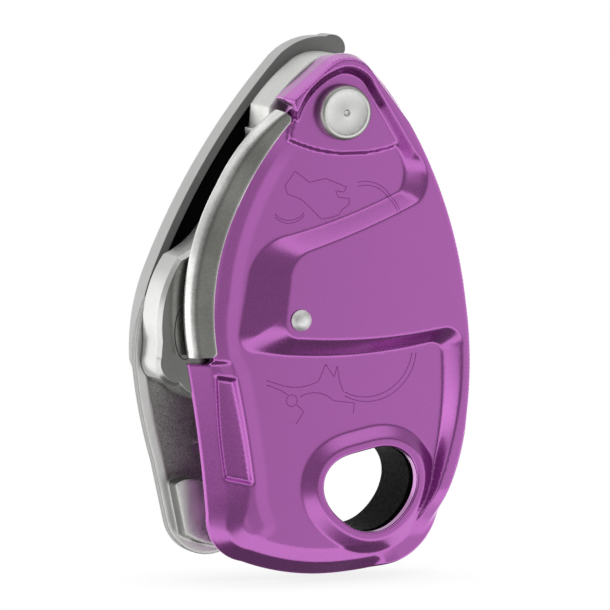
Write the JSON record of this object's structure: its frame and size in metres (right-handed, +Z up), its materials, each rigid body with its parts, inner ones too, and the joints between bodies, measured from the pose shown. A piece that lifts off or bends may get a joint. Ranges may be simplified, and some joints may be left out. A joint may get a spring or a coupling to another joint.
{
  "type": "belay device",
  "caption": "Cam-assisted belay device: fixed back plate, swinging front plate with rope lip, pinching cam, release handle and mode knob.",
  "frame": {"origin": "centre of the carabiner attachment hole, in the middle of the rope gap between the two side plates", "axes": "+X right seen from the front, +Y from the front plate to the handle at the back, +Z up towards the plate pivot"},
  "size_m": [0.0796, 0.0401, 0.1279],
  "materials": {
    "cast_plate": "bead-blasted casting with bright machined rim",
    "anodised_plate": "satin purple anodising on pressed sheet",
    "stainless": "fine grainy blasted stainless steel",
    "polished_stainless": "polished sides, satin grey front face",
    "rivet_steel": "satin turned steel",
    "spring_steel": "dark drawn spring wire",
    "bronze": "sintered bronze",
    "black_nylon": "black moulded nylon",
    "grey_nylon": "light grey moulded nylon"
  },
  "bodies": {
    "frame": {"fixed_side_plate": "cast_plate", "friction_plate": "stainless", "friction_plate_rivets": "rivet_steel", "pivot_rivet": "rivet_steel", "pivot_rear_washer": "rivet_steel", "attachment_bush": "black_nylon", "cam_axle": "rivet_steel", "cam_thrust_washer": "bronze", "cam_stop_pin": "rivet_steel", "axle_retaining_ring": "spring_steel", "cam_return_spring": "spring_steel", "handle_return_spring": "spring_steel"},
    "moving_plate": {"moving_side_plate": "anodised_plate", "wear_plate": "stainless", "wear_plate_rivet": "rivet_steel", "pivot_spacer": "black_nylon"},
    "cam": {"cam": "polished_stainless", "cam_bearing": "bronze"},
    "handle": {"handle_shell": "grey_nylon", "handle_core": "black_nylon", "handle_hub": "rivet_steel", "release_arm": "stainless", "release_pin": "rivet_steel"},
    "selector": {"selector_knob": "black_nylon", "detent_ball": "rivet_steel", "detent_spring": "spring_steel"}
  },
  "joints": [
    {"name": "plate_swing", "type": "hinge", "parent": "frame", "child": "moving_plate", "pos_m": [-0.0067, 0, 0.0904], "axis": [0, 1, 0], "range_deg": [0, 120]},
    {"name": "cam_pivot", "type": "hinge", "parent": "frame", "child": "cam", "pos_m": [-0.02, 0, 0.044], "axis": [0, 1, 0], "range_deg": [0, 24], "deforming": ["cam_return_spring"]},
    {"name": "handle_pivot", "type": "hinge", "parent": "frame", "child": "handle", "pos_m": [-0.02, 0, 0.044], "axis": [0, -1, 0], "range_deg": [0, 90], "deforming": ["handle_return_spring"]},
    {"name": "selector_turn", "type": "hinge", "parent": "frame", "child": "selector", "pos_m": [-0.02, 0, 0.044], "axis": [0, 1, 0], "range_deg": [0, 60]}
  ]
}
